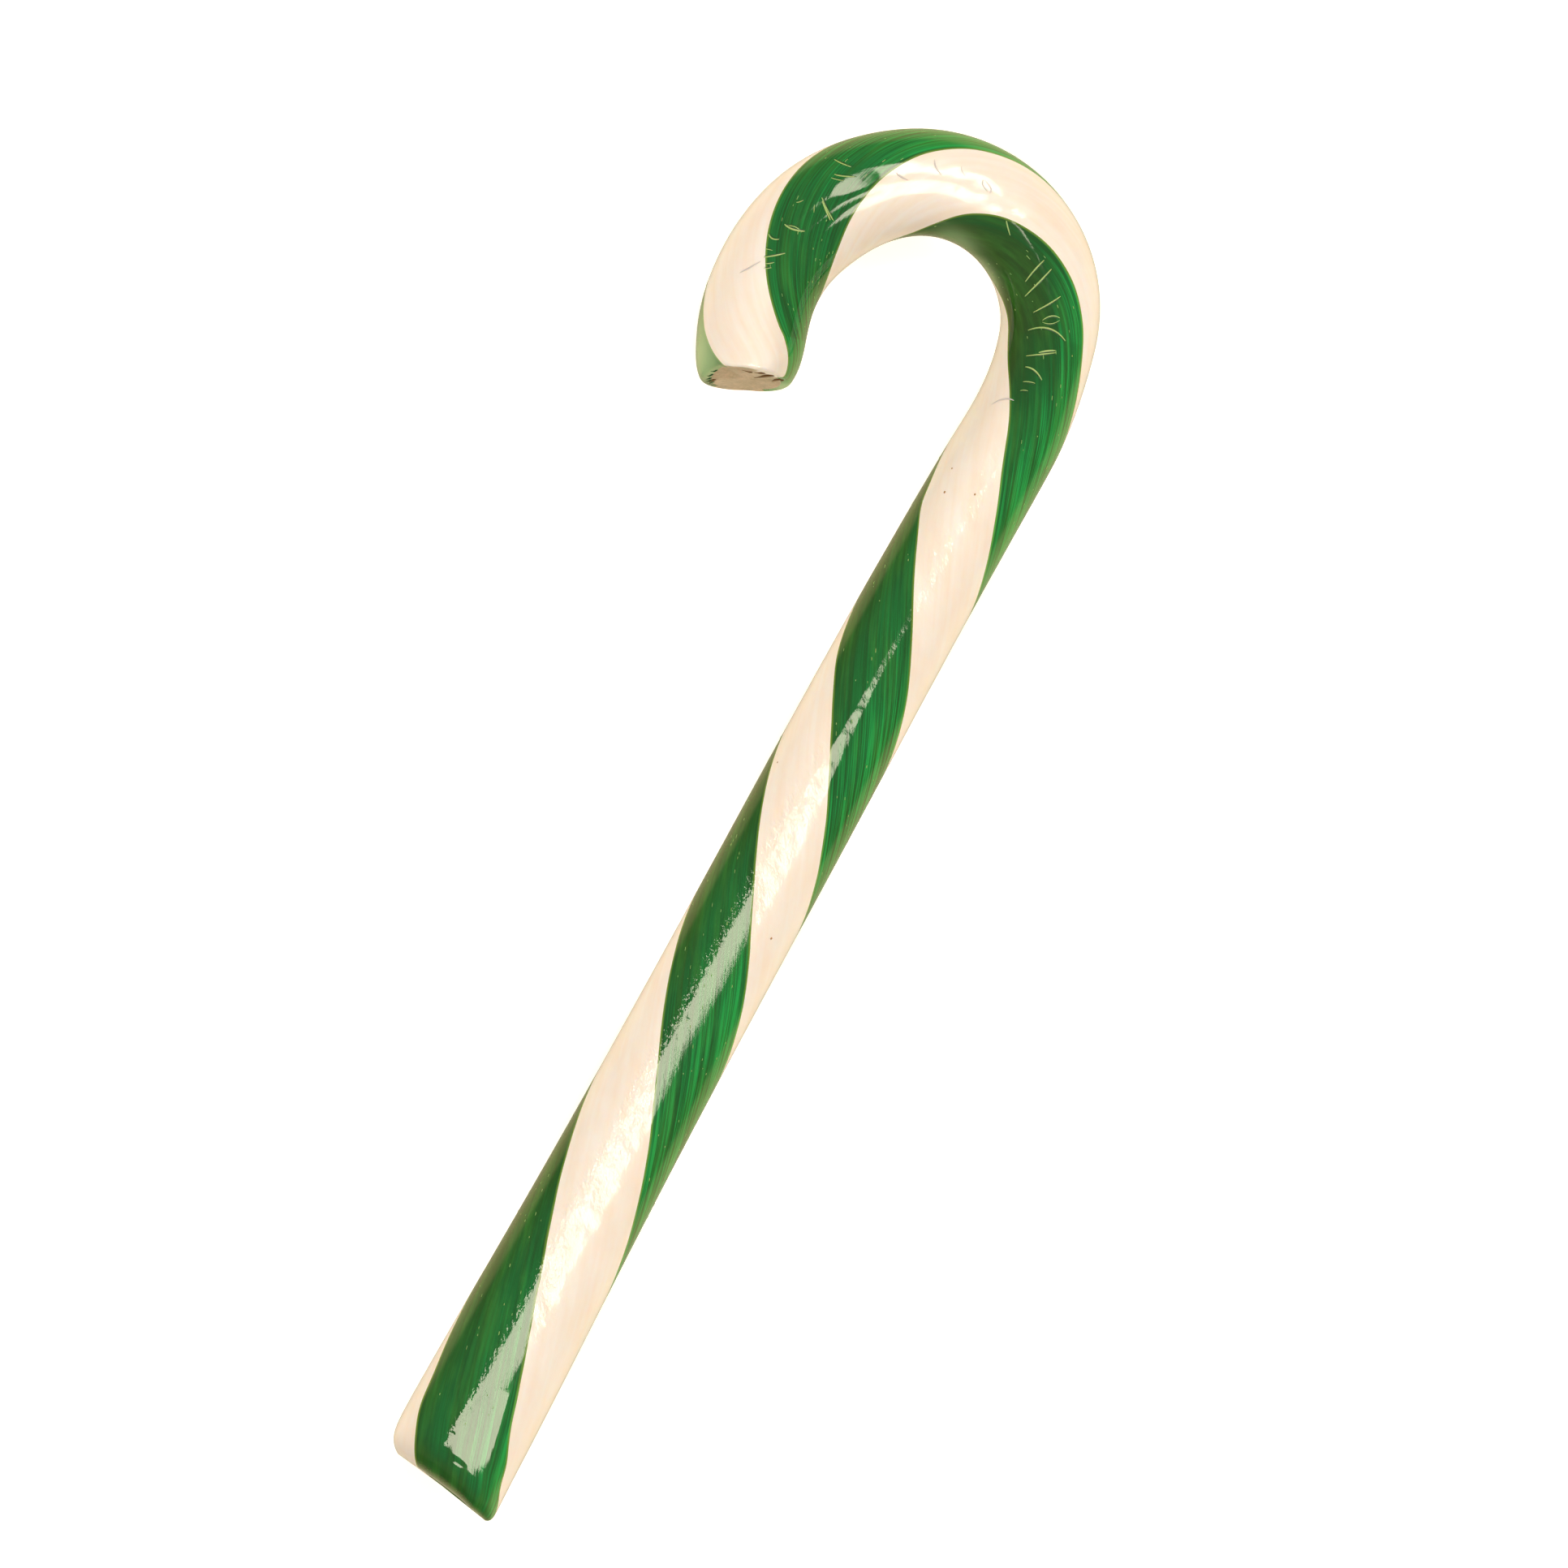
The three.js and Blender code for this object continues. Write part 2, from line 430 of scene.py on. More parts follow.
# Sugar pulled until it is full of fine air, which makes it opaque and creamy white with a satin gloss.
# Light goes a millimetre into it, so its shadows are warm and soft.
def pulledWhiteSugar():
    s = whiteSugar
    material, tree = newMaterial("pulledWhiteSugar")
    streak, cloud, pits = (ropeNoise(tree, *s[name]) for name in ("streak", "cloud", "pits"))
    tone = addNode(tree, "ShaderNodeMath", {"operation": "ADD"}, {0: streak, 1: cloud}).outputs[0]
    tone = addNode(tree, "ShaderNodeMapRange", s["warmShare"], {0: tone}).outputs[0]
    ends = {"Color1": linearColour(s["bright"]), "Color2": linearColour(s["warm"])}
    colour = addNode(tree, "ShaderNodeMixRGB", ends, {"Fac": tone}).outputs[0]
    roughness = addNode(tree, "ShaderNodeMapRange", s["roughness"], {0: cloud}).outputs[0]
    normal = crinkledNormal(tree, pits)
    settings = {
        "IOR": 1.5,
        "Subsurface Weight": 0.5,
        "Subsurface Radius": (1.0, 0.7, 0.45),
        "Subsurface Scale": 1.2 * mm,
        "Coat Weight": 1.0,
        "Coat Roughness": s["glossRoughness"],
        "Coat IOR": 1.5,
    }
    links = {"Base Color": colour, "Roughness": roughness, "Normal": normal, "Coat Normal": normal}
    addSurface(tree, settings, links)
    return material


shadedCutSugar = {
    # the face is the white core, painted in these tans as shade
    "light": "#cdb497",
    "dark": "#a5906f",
    "grain": (0.5, 0.5, 3, 4.4),
    "broad": (2.5, 2.5, 1, 8.8),
    "darkShare": {"From Min": 0.7, "From Max": 1.3},
    "grainHeight": 0.03,         # mm
}


# The broken face of the white core, where it was snapped off warm: duller than the skin, and painted darker
# tan as shade, since it faces sideways.
def snappedFacePaintedShade():
    s = shadedCutSugar
    material, tree = newMaterial("snappedFacePaintedShade")
    grain, broad = (ropeNoise(tree, *s[name]) for name in ("grain", "broad"))
    tone = addNode(tree, "ShaderNodeMath", {"operation": "ADD"}, {0: grain, 1: broad}).outputs[0]
    tone = addNode(tree, "ShaderNodeMapRange", s["darkShare"], {0: tone}).outputs[0]
    ends = {"Color1": linearColour(s["light"]), "Color2": linearColour(s["dark"])}
    colour = addNode(tree, "ShaderNodeMixRGB", ends, {"Fac": tone}).outputs[0]
    relief = {"Strength": 1.0, "Distance": s["grainHeight"] * mm}
    normal = addNode(tree, "ShaderNodeBump", relief, {"Height": grain}).outputs["Normal"]
    settings = {"IOR": 1.5, "Roughness": 0.3, "Subsurface Weight": 0.3, "Subsurface Scale": 1.0 * mm}
    addSurface(tree, settings, {"Base Color": colour, "Normal": normal})
    return material


skinMesh = {
    "footRows": 44,
    "rowSpacing": 0.3,           # mm
    "tipRowSpacing": 0.16,
    "rimRows": 5,
    "footCapScales": [0.3, 0.6, 0.85],
    "tipCapScales": [0.96, 0.92, 0.86, 0.79, 0.7, 0.6, 0.5, 0.4, 0.3, 0.2, 0.1],
    "firstNormalAt": 0.05,       # the skin's outward direction is taken no nearer to the ridge than this
    "ripples": [(4.0, 0.007), (1.4, 0.004)],  # wavelength and height in mm
    "dimples": {                 # in the top of the white
        "wavelength": 1.5,
        "offset": (3, 3, 3),
        "height": 0.065,
        "lowered": 0.7,          # by this share of the height
        "reach": 32,             # degrees from the top line
        "fades": (148, 160),     # between these distances they grow shallower
        "fading": 0.75,
    },
    "whiteFrom": 4,              # what is in the white alone starts over this many degrees from its edge
    "crownFacet": {
        "at": 164.2,
        "angle": 8,
        "depth": 0.08,
        "curve": 0.009,          # it falls off along the cane by this much, for each mm squared
        "roundness": 0.12,       # share of the round that is left
        "bumps": (1.4, 0.008),   # wavelength and height
        "fadeInWhite": 20,       # degrees from the stripe's edge
    },
    "swell": {"at": 186.5, "angle": -28, "reach": 1.6, "height": 0.38},  # just behind the cut
    "rimPush": [(-75, 0), (-45, 0.27), (-10, 0.42), (20, 0.15), (45, -0.4), (80, 0)],  # degrees and mm
    "rimReach": 1.2,             # mm back from the cut
    "rimSamples": 120,
    "hollow": 0.15,              # the cut face is sunk by this much
    "fingers": {"angles": (-78, -18), "scale": 0.72},  # the white core stands out on the cut here
    "greenSkinScale": 0.8,       # on the cut, green shows outside this share of the way to the rim
    "paintedGlow": {                    # painted glow: light painted into the green's colour, as if it came through
        "plain": 0.5,
        "from": (0.75, 0.65, 0.0),  # the green is painted lighter on the side facing this way, as if lit through from the other side
        "byDirection": 0.4,
        "bySqueeze": -0.6,       # darker on the inner side of a bend
        "neck": (140, -15, 13, 35),  # a darker patch on the inner side of the neck: at, angle, and reach in mm and degrees
        "byNeck": -0.3,
    },
    "thinGreenAndPaintedSheen": [               # thin green with painted sheen, the floor's reflection on the sides: at, angle, reach in mm and degrees, share
        (186.2, 66, 5.5, 34, 0.85),
        (176, 100, 6.0, 30, 0.5),
        (188, -108, 4.0, 26, 0.75),
        (151, -68, 4.5, 17, 0.5),
        (144, -76, 5.0, 17, 0.45),
    ],
    "edgeRadius": 5.2164,        # degrees from a stripe's edge become mm at this radius
    "crinkles": {
        "inGreen": 0.06,
        "moreInWhite": 0.3,
        "reach": 20,             # degrees from the top line
        "bends": (118, 132),     # between these distances the bend begins, with fewer crinkles
        "fewer": 0.7,
        "least": 0.4,            # the share of them at the foot, along the flat's ragged edge
        "most": 40,              # and the distance where they are all there
    },
}


# Rows along the cane: distance and inset, in mm
def skinRows():
    roll, fade = caneShape["footRoll"], caneShape["cutFade"]
    foot = roll * (1 - np.cos(np.linspace(0, math.pi / 2, skinMesh["footRows"], endpoint=False)))
    stickSpan = caneLength - fade - roll
    stick = np.linspace(roll, caneLength - fade, round(stickSpan / skinMesh["rowSpacing"]), endpoint=False)
    tipCount = round(fade / skinMesh["tipRowSpacing"])
    tip = np.linspace(caneLength - fade, caneLength, tipCount, endpoint=False)
    rim = np.linspace(0, math.pi / 2, skinMesh["rimRows"] + 1)
    distance = np.concatenate((foot, stick, tip, caneLength + caneShape["rimRound"] * np.sin(rim)))
    inset = np.zeros_like(distance)
    inset[-len(rim) :] = caneShape["rimRound"] * (1 - np.cos(rim))
    return distance, inset


# Noise at points given in mm
def noiseAt(points, wavelength, offset=(0, 0, 0)):
    values = [noise.noise(Vector(point) / wavelength + Vector(offset)) for point in points.reshape(-1, 3)]
    return np.array(values).reshape(points.shape[:-1])


def ripplesAt(rope):
    return sum(size * (noiseAt(rope, wavelength) - 1) for wavelength, size in skinMesh["ripples"])


def dimplesAt(distance, angle, rope, inWhite):
    s = skinMesh["dimples"]
    onTop = hump(np.degrees(angle), s["reach"])
    faded = 1 - s["fading"] * easedStep(distance, *s["fades"])[:, None]
    dimpled = noiseAt(rope, s["wavelength"], s["offset"]) - s["lowered"]
    return s["height"] * dimpled * onTop * inWhite * faded


# How far the crown is pressed in from the round, by a facet in its green
def facetDepthAt(distance, skin, rope, edgeGap):
    s = skinMesh["crownFacet"]
    place = np.array([s["at"]]), np.radians([s["angle"]])
    overPlane = (skin - skinAt(*place)[0]) @ normalAt(*place)[0] + s["depth"]
    overPlane = overPlane - s["curve"] * (distance[:, None] - s["at"]) ** 2
    wavelength, size = s["bumps"]
    near = overPlane > -size
    overPlane[near] += size * noiseAt(rope[near], wavelength)
    inGreen = 1 - np.clip(-edgeGap / s["fadeInWhite"], 0, 1)
    return (1 - s["roundness"]) * inGreen * np.maximum(overPlane, 0)


def swellAt(distance, angle):
    s = skinMesh["swell"]
    offAcross = (angle - math.radians(s["angle"])) * stickRadius
    return s["height"] * hump(distance[:, None] - s["at"], s["reach"]) * hump(offAcross, s["reach"])


# The stick lay against something flat while it was soft, and has a long shallow flat along its top.
# Its edges are ragged, it spreads at the foot, and toward the neck it breaks up into patches.
pressedFlat = {
    "innerEdge": -1.55,          # mm from the top line of the stick
    "outerEdge": 2.0,
    "innerWaves": [(7.0, 0.25)],  # wavelength and size
    "outerWaves": [(9.0, 0.1)],
    "innerSeed": 2.0,
    "outerSeed": 5.0,
    "footSpread": (12.0, 4.0, 2.6),  # from this distance to that one the outer edge goes out by this much
    "roundness": 0.2,            # share of the stick's own roundness that is left
    "nibbles": {"wavelength": 0.8, "height": 0.032, "reach": 0.5},  # small bumps along the inner edge
    "roughWithin": 3,            # mm from the middle of the flat, where it has small bumps at all
    "edgeReach": 0.55,           # its inner edge is crinkled so far
    "fades": (76, 95),           # it narrows between these distances
    "fadeDepth": 0.29,
    "fadeBumps": {"wavelength": 0.9, "height": 0.02, "offset": 5, "grow": 3},
    "dents": [                   # at, angle, reach across and along, depth
        (3.2, 6, 1.0, 0.34, 0.16),
        (54.9, -1, 0.32, 0.45, 0.03),
        (52.5, -1, 0.32, 0.4, 0.03),
    ],
    "footLean": {                # the foot's inner side leans down here
        "along": (7.2, 3.6),
        "across": (0.5, -1.7),
        "depth": 0.3,
    },
    "footRolls": {               # the foot's outer side stays level for longer
        "across": (-0.8, 4.6),
        "lengths": (4.3, 2.5),
    },
}


# How far the top of the foot is pressed in, where negative raised, apart from the flat
def footDepthAt(distance, angle, across):
    lean, rolls = pressedFlat["footLean"], pressedFlat["footRolls"]
    onTop = np.maximum(np.cos(angle), 0) ** 2
    leaning = lean["depth"] * easedStep(distance, *lean["along"]) * easedStep(across, *lean["across"])
    longRoll, shortRoll = rolls["lengths"]
    roll = longRoll + (shortRoll - longRoll) * evenStep(across, *rolls["across"])
    levelLonger = np.sqrt(1 - np.maximum(0, 1 - distance / roll) ** 2) - footRise(distance)
    return (leaning - caneShape["stickHeight"] / 2 * levelLonger) * onTop * footRise(distance)


# How far the skin is pressed in from the round, and the share of the flat's ragged edge
def flatDepthAt(distance, angle):
    s = pressedFlat
    radius = withBumps(caneShape["stickWidth"], caneShape["widthBumps"], distance)[:, None] / 2
    across = angle * radius
    inner = s["innerEdge"] + wavy(distance, s["innerWaves"], s["innerSeed"])
    outer = s["outerEdge"] + wavy(distance, s["outerWaves"], s["outerSeed"])
    spreadFrom, spreadTo, spread = s["footSpread"]
    outer = outer + spread * evenStep(distance, spreadFrom, spreadTo)
    inner, outer, distance = inner[:, None], outer[:, None], distance[:, None]
    faded = evenStep(distance, *s["fades"])

    # small bumps, along the inner edge and then where the flat fades
    nibbles, bumps = s["nibbles"], s["fadeBumps"]
    near = np.abs(across - (inner + outer) / 2) < s["roughWithin"]
    places = np.stack((np.broadcast_to(distance, across.shape), across, np.zeros_like(across)), axis=-1)[near]
    nibbled = np.zeros_like(across)
    nibbled[near] = nibbles["height"] * (1 - noiseAt(places, nibbles["wavelength"]))
    nibbled = nibbled * hump(across - inner, nibbles["reach"]) * (1 - faded)
    roughened = np.zeros_like(across)
    roughened[near] = bumps["height"] * noiseAt(places, bumps["wavelength"], [bumps["offset"]] * 3)

    overFlat = (across - inner) * (outer - across) / (2 * radius)  # height of the round over the flat
    overFlat = overFlat - s["fadeDepth"] * np.sqrt(faded) + roughened * np.minimum(1, bumps["grow"] * faded)
    depth = ((1 - s["roundness"]) * np.maximum(overFlat, 0) + nibbled) * footRise(distance)
    depth = depth + footDepthAt(distance, angle, across)
    for at, angleAt, acrossReach, alongReach, dentDepth in s["dents"]:
        offAcross = across - math.radians(angleAt) * radius
        depth = depth + dentDepth * hump(distance - at, alongReach) * hump(offAcross, acrossReach)
    return depth, (1 - faded) * hump(across - inner, s["edgeReach"])


# How crinkled the skin is, from 0 to 1: most along the flat's ragged edge, least where the hook was bent
def crinkleAt(distance, angle, edgeShare, inWhite):
    s = skinMesh["crinkles"]
    onTop = hump(np.degrees(angle), s["reach"])
    atEdge = edgeShare * np.clip(distance / s["most"], s["least"], 1)[:, None]
    spread = (s["inGreen"] + s["moreInWhite"] * inWhite) * onTop
    return np.clip(atEdge + spread * (1 - s["fewer"] * evenStep(distance, *s["bends"]))[:, None], 0, 1)


def rimPushAt(angle):
    return np.interp(np.degrees(angle), *zip(*skinMesh["rimPush"]))


# A place on the cut face: an angle round it, and the share of the way from its middle to the rim
def cutFaceAt(angle, share):
    end = np.array([caneLength])
    heading = centreAt(end)[2][0]
    ahead = np.array([math.cos(heading), math.sin(heading), 0])

    def rimAt(angles):
        rim = skinAt(caneLength + caneShape["rimRound"], angles, caneShape["rimRound"])
        return rim + ahead * rimPushAt(angles)[:, None]

    allRound = np.linspace(-math.pi, math.pi, skinMesh["rimSamples"], endpoint=False)
    middle = rimAt(allRound).mean(axis=0)
    sunk = skinMesh["hollow"] * (1 - share**2)
    return middle + (rimAt(angle) - middle) * share[:, None] - ahead * sunk[:, None]


# The rope angle of each mesh row and column, how many degrees it lies inside the green (outside it where
# negative), and the number of the stripe that each column of faces is in
def stripeColumns(distance):
    edges = stripeEdgesAt(distance)
    ropeAngle, edgeGap, stripe = [], [], []
    for number, count in enumerate(twist["columns"]):
        start, end = edges[number], edges[number + 1]
        for column in range(count):
            angle = start + (end - start) * column / count
            gap = np.minimum(angle - start, end - angle)
            ropeAngle.append(angle)
            edgeGap.append(gap if number % 2 == 0 else -gap)
            stripe.append(number)
    return np.array(ropeAngle).T, np.array(edgeGap).T, np.array(stripe)


# 1 at a place on the skin, fading smoothly round it
def patchAt(distance, angle, at, angleAt, reach, reachDegrees):
    return hump(distance[:, None] - at, reach) * hump(np.degrees(angle) - angleAt, reachDegrees)


# The green's painted glow: light painted into it, more on the side facing one way, less on the inner side of
# a bend
def paintedGlowAt(distance, angle, outward):
    s = skinMesh["paintedGlow"]
    squeezed = -centreAt(distance)[3][:, None] * stickRadius * np.sin(angle)
    paintedGlow = s["plain"] + s["byDirection"] * (outward @ np.array(s["from"])) + s["bySqueeze"] * squeezed
    return np.clip(paintedGlow + s["byNeck"] * patchAt(distance, angle, *s["neck"]), 0, 1)


white, green, cutFace = 0, 1, 2  # the order of the cane's materials


# The material of each face of the rows, and then of the two hubs
def finishOf(stripe, lastAngle, scales):
    isGreen = stripe % 2 == 0
    scale = scales[1:, None]
    onCut = scale < 1
    fingersFrom, fingersTo = skinMesh["fingers"]["angles"]
    isFinger = ~isGreen & (lastAngle > fingersFrom) & (lastAngle < fingersTo)
    onSkin = np.where(isGreen, green, white)
    finish = np.where(onCut, cutFace, onSkin)
    finish = np.where(onCut & (scale >= skinMesh["greenSkinScale"]) & isGreen, green, finish)
    finish = np.where(onCut & (scale >= skinMesh["fingers"]["scale"]) & isFinger, white, finish)
    return np.concatenate((finish.ravel(), onSkin, np.full(len(stripe), cutFace))).astype(np.int32)


def sugarCane():
    distance, inset = skinRows()
    ropeAngle, edgeGap, stripe = stripeColumns(distance)
    angle = np.radians(ropeAngle - twistAt(distance)[:, None])
    angle = (angle + math.pi) % (2 * math.pi) - math.pi
    turned = np.radians(ropeAngle)
    along = np.repeat(distance[:, None], len(stripe), axis=1)
    rope = np.stack((stickRadius * np.cos(turned), stickRadius * np.sin(turned), along), axis=-1)

    # the plain skin, then its relief, then the shift of the cut's rim
    skin = skinAt(distance[:, None], angle, inset[:, None])
    outward = normalAt(np.maximum(distance, skinMesh["firstNormalAt"])[:, None], angle)
    flatDepth, edgeShare = flatDepthAt(distance, angle)
    inWhite = np.clip(-edgeGap / skinMesh["whiteFrom"], 0, 1)
    relief = ripplesAt(rope) - flatDepth + dimplesAt(distance, angle, rope, inWhite)
    relief = relief - facetDepthAt(distance, skin, rope, edgeGap) + swellAt(distance, angle)
    relief = relief * (1 - np.clip(inset[:, None] / caneShape["rimRound"], 0, 1))
    skin = skin + outward * relief[..., None]
    push = rimPushAt(angle) * np.exp(np.minimum(distance - caneLength, 0) / skinMesh["rimReach"])[:, None]
    heading = centreAt(distance)[2]
    ahead = np.stack((np.cos(heading), np.sin(heading), np.zeros_like(heading)), axis=-1)
    skin = skin + ahead[:, None, :] * push[..., None]
    skin[..., 2] = np.maximum(skin[..., 2], 0)

    # the ridge of the foot and the cut of the tip, filled by shrinking rows
    footScales, tipScales = skinMesh["footCapScales"], skinMesh["tipCapScales"]
    footHub = skin[0].mean(axis=0)
    footCap = [footHub + (skin[0] - footHub) * scale for scale in footScales]
    tipCap = [cutFaceAt(angle[-1], np.full(len(stripe), scale)) for scale in tipScales]
    tipHub = cutFaceAt(np.zeros(1), np.zeros(1))[0]
    rows = np.concatenate((footCap, skin, tipCap))
    placeInCadBox(rows.reshape(-1, 3))
    materials = (pulledWhiteSugar(), greenBoiledSugar(), snappedFacePaintedShade())
    piece = pieceOf("twistedSugar", [(*closedShell(rows, footHub, tipHub), 0)], materials)

    # the caps' rows and the hubs take their values from the skin's first and last row
    def padded(values):
        first = np.repeat(values[:1], len(footScales), axis=0)
        last = np.repeat(values[-1:], len(tipScales), axis=0)
        flat = np.concatenate((first, values, last)).reshape(-1, *values.shape[2:])
        return np.concatenate((flat, flat[:1], flat[-1:]))

    # what the materials read: place on the rope, mm from a stripe's edge, painted glow, and so on
    scales = np.concatenate((np.ones(len(footScales) + len(distance)), tipScales))
    ropePlaces = padded(rope)
    ropePlaces[:, :2] *= np.concatenate((np.repeat(scales, len(stripe)), [1, 0]))[:, None]
    mesh = piece.data
    mesh.attributes.new("rope", "FLOAT_VECTOR", "POINT").data.foreach_set("vector", ropePlaces.ravel())
    thinAndSheenPatches = [share * patchAt(distance, angle, *place) for *place, share in skinMesh["thinGreenAndPaintedSheen"]]
    values = {
        "edge": np.radians(edgeGap) * skinMesh["edgeRadius"],
        "paintedGlow": paintedGlowAt(distance, angle, outward),
        "thinAndPaintedSheen": np.max(thinAndSheenPatches, axis=0),
        "crinkle": crinkleAt(distance, angle, edgeShare, inWhite),
    }
    for name, value in values.items():
        mesh.attributes.new(name, "FLOAT", "POINT").data.foreach_set("value", padded(value))
    mesh.polygons.foreach_set("material_index", finishOf(stripe, np.degrees(angle[-1]), scales))
    mesh.update()
    return piece


cane = sugarCane()
print("cane: made, with", len(cane.data.vertices), "points")


# Where the bends cracked the glaze, there are short pale creases, their pale colour partly a painted glint.
# Each is a thin closed sliver that lies along the skin and stands a little proud of it.
creases = {
    "width": 0.2,                # mm across the middle of the widest
    "proud": 0.03,
    "sunk": 0.12,
    "steps": 12,
    "onGreen": [                 # distance and angle of both ends, bow in mm toward the tip, share of width
        (141.8, 4, 140.0, -28, 0.2, 0.9),
        (140.8, 9, 138.2, -33, 0.1, 1.0),
        (138.0, 13, 136.2, -24, 0.0, 0.8),
        (135.3, -12, 135.7, 11, 0.45, 0.6),
        (135.3, -12, 135.7, 11, -0.35, 0.4),
        (133.9, -30, 133.5, 23, 0.95, 0.9),
        (131.2, -24, 132.5, 15, 0.0, 0.7),
        (131.9, -9, 132.6, 12, 0.1, 1.0),
        (130.1, -20, 129.2, 7, 0.4, 0.9),
        (128.5, -16, 128.8, 0, 0.1, 0.5),
        (127.5, -15, 127.8, -5, 0.1, 0.4),
        (147.5, -8, 145.8, -17, 0.1, 0.8),
        (165.2, 45, 164.0, 25, 0.15, 0.7),
        (165.8, 27, 164.0, 14, 0.25, 0.8),
        (166.2, 25, 165.2, 15, 0.1, 0.5),
        (167.8, 13, 168.2, -17, 0.1, 0.8),
        (168.0, 9, 168.5, -14, 0.0, 1.0),
        (168.8, 10, 169.4, 3, 0.0, 0.4),
        (172.2, 17, 171.2, -6, 0.35, 1.0),
        (172.3, 14, 171.7, -4, -0.3, 0.5),
        (173.8, 23, 173.6, 9, 0.3, 0.8),
        (176.0, 14, 174.3, -5, 0.15, 0.8),
        (176.4, 9, 175.8, 0, 0.1, 0.5),
        (176.9, 8, 176.4, 0, 0.1, 0.4),
        (175.2, 17, 174.9, 8, 0.0, 0.4),
        (170.0, 24, 169.3, 20, 0.2, 0.5),
    ],
    "onWhite": [
        (124.8, -42, 126.3, -15, 0.5, 0.8),
        (178.2, 30, 176.3, 13, 0.2, 0.8),
        (160.2, 8, 159.0, -2, 0.2, 0.8),
        (156.5, 22, 155.6, 4, 0.3, 0.7),
        (154.0, 20, 153.4, 10, 0.2, 0.5),
        (151.5, 14, 150.6, 4, -0.4, 0.7),
        (151.6, 14, 150.7, 4, 0.4, 0.7),
    ],
    # pale, partly the crazed glaze's own colour and partly a painted glint
    "colour": "#b0c878",
    "groove": {"toFoot": 0.14, "width": 0.7, "proud": 0.01, "colour": "#164f1c"},  # a dark green sliver beside each crease: painted shade, as in a groove
}

# Specks of scorched sugar in the white
specks = {
    "places": [                  # distance, angle and size in mm
        (117.0, -43, 0.22),
        (114.5, -35, 0.3),
        (115.8, -3, 0.24),
        (82.0, -56, 0.24),
        (65.8, 37, 0.3),
    ],
    "width": 0.8,                # share of the size
    "proud": 0.01,
    "sunk": 0.1,
    "steps": 6,
    "colour": "#b98a5c",
}

# The cut tore the core into short fingers, with clefts between them that are painted dark as shade. Each has
# its two ends, across and up as shares of the way to the rim, and its width in mm.
clefts = {
    "places": [
        ((0.16, 0.72), (-0.15, 0.68), 0.3),
        ((-0.15, 0.64), (-0.44, 0.72), 0.8),
        ((-0.15, 0.10), (-0.66, 0.65), 1.0),
        ((-0.62, 0.02), (-0.85, 0.34), 0.8),
        ((-0.82, 0.20), (-0.92, 0.26), 0.4),
        ((0.90, -0.19), (0.76, 0.03), 0.6),
    ],
    "greenPlaces": [
        ((0.88, 0.46), (0.70, 0.50), 0.3),
        ((0.96, 0.24), (0.80, 0.32), 0.35),
        ((0.98, 0.04), (0.84, 0.14), 0.4),
        ((0.98, -0.14), (0.82, 0.0), 0.3),
        ((0.90, -0.36), (0.80, -0.12), 0.5),
    ],
    "bow": -0.05,
    "fullest": 0.75,
    "steps": 10,
    "proud": 0.1,
    "sunk": 0.12,
    "tilt": 0.18,                # the cut face looks up by this much
    # painted shade in the clefts
    "colour": "#6a4312",
}

# Small bubbles that were drawn out into dashes with the green
bubbleDashes = {
    "count": 420,
    "length": (0.15, 0.6),       # mm
    "width": (0.05, 0.1),
    "clearOfEnds": (6, 2),       # mm from the foot and the tip
    "acrossStripe": (0.06, 0.94),
    "proud": 0.012,
    "sunk": 0.08,
    "steps": 4,
    "colour": "#8fb565",
    "seed": 7,
}


# A sliver along a line of places, as rows of four points round it. fullest is where it is widest, as a
# share of its length.
def sliverAlong(middle, outward, width, proud, sunk, fullest=0.5):
    along = np.linspace(0, 1, len(middle)) ** (math.log(0.5) / math.log(fullest))
    ahead = unit(np.gradient(middle, axis=0))
    side = np.cross(outward, ahead)
    blunt = 0.03                 # so that its ends aren't quite points
    taper = np.sqrt(np.sin(math.pi * np.clip(along, blunt, 1 - blunt)))[:, None]
    rows = np.stack(
        (
            middle + side * taper * width / 2,
            middle + outward * taper * proud,
            middle - side * taper * width / 2,
            middle - outward * sunk,
        ),
        axis=1,
    )[1:-1]
    rows[..., 2] = np.maximum(rows[..., 2], 0)
    return closedShell(rows, middle[0] - outward[0] * sunk / 2, middle[-1] - outward[-1] * sunk / 2)


# A sliver along the skin between two places
def sliver(start, end, bow, width, proud, sunk, steps):
    along = np.linspace(0, 1, steps + 1)
    distance = start[0] + (end[0] - start[0]) * along + bow * 4 * along * (1 - along)
    angle = np.radians(start[1] + (end[1] - start[1]) * along)
    outward = normalAt(distance, angle)
    middle = skinAt(distance, angle) - outward * flatDepthAt(distance, angle[:, None])[0]
    return sliverAlong(middle, outward, width, proud, sunk)


# A dark cleft in the cut face between two places, each across and up as shares of the way to the rim
def cleft(start, end, width):
    along = np.linspace(0, 1, clefts["steps"] + 1)
    across = start[0] + (end[0] - start[0]) * along
    up = start[1] + (end[1] - start[1]) * along + clefts["bow"] * np.sin(math.pi * along)
    middle = cutFaceAt(np.arctan2(across, up), np.hypot(across, up))
    heading = centreAt(np.array([caneLength]))[2][0]
    outward = unit(np.array([math.cos(heading), math.sin(heading), clefts["tilt"]]))
    outward = np.tile(outward, (len(middle), 1))
    return sliverAlong(middle, outward, width, clefts["proud"], clefts["sunk"], clefts["fullest"])


# Cracked glaze scatters light, so it is pale and satin beside the clear green. Made dark, it also gives
# painted shade.
def crackedGlazeAndPaintedShade(colour):
    material, tree = newMaterial("crackedGlazeAndPaintedShade")
    settings = {"IOR": 1.54, "Roughness": 0.3, "Subsurface Weight": 0.3, "Subsurface Scale": 0.3 * mm}
    addSurface(tree, {"Base Color": linearColour(colour), **settings})
    return material


